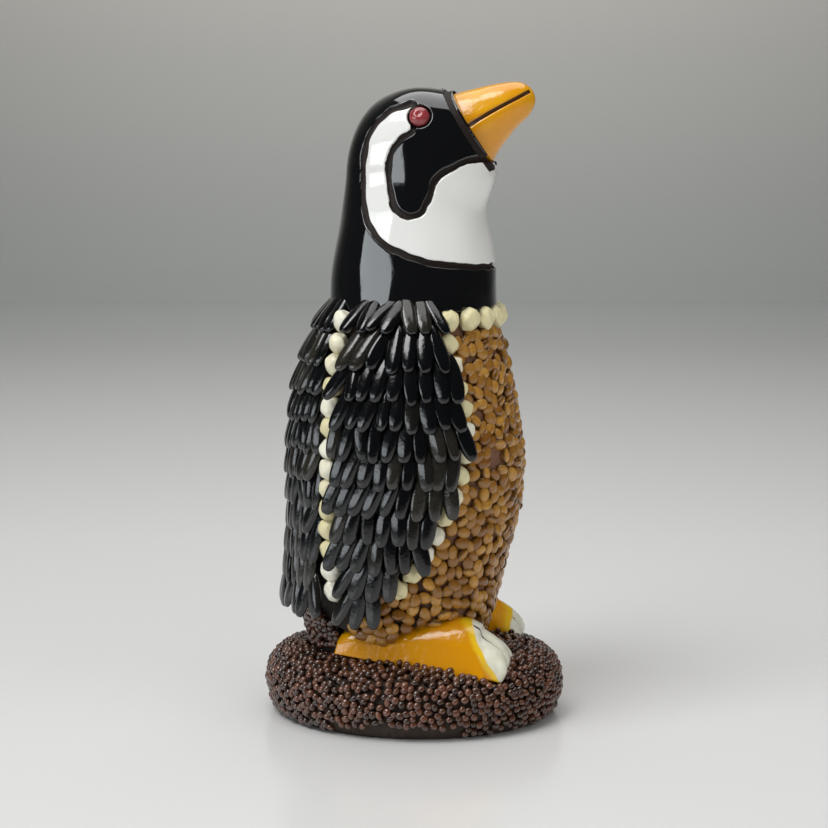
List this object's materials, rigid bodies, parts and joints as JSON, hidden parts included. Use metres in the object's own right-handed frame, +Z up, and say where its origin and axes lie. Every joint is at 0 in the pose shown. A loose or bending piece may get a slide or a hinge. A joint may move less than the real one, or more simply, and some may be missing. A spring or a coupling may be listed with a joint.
{
  "type": "penguin figurine",
  "caption": "Seed-covered penguin figurine with a glossy black enamelled head, white bib, orange beak and feet, on an oval grain-coated mound.",
  "frame": {"origin": "middle of the flat underside of the mound", "axes": "+Z up, -Y the way the bird faces, -X the bird's right side"},
  "size_m": [0.0472, 0.0548, 0.1136],
  "materials": {
    "clay": "matte brown modelling clay",
    "base_grains": "small glossy dark red-brown grains",
    "black_enamel": "high-gloss black enamel",
    "white_enamel": "high-gloss white enamel",
    "orange_enamel": "gloss orange enamel",
    "claw_enamel": "gloss cream enamel",
    "eye_glass": "red glass bead",
    "black_seeds": "glossy black seed coat",
    "pale_grains": "pale waxy grain",
    "brown_seeds": "caramel-brown seed coat"
  },
  "bodies": {
    "root": {"base_core": "clay", "base_grain_coat": "base_grains", "body_core": "clay", "head": "black_enamel", "face_enamel": "white_enamel", "beak": "orange_enamel", "right_eye": "eye_glass", "left_eye": "eye_glass", "right_foot": "orange_enamel", "left_foot": "orange_enamel", "right_claws": "claw_enamel", "left_claws": "claw_enamel", "right_wing": "clay", "left_wing": "clay", "right_wing_feathers": "black_seeds", "left_wing_feathers": "black_seeds", "back_feathers": "black_seeds", "right_wing_front_grains": "pale_grains", "left_wing_front_grains": "pale_grains", "right_wing_rear_grains": "pale_grains", "left_wing_rear_grains": "pale_grains", "collar_grains": "pale_grains", "belly_seeds": "brown_seeds"}
  },
  "joints": []
}
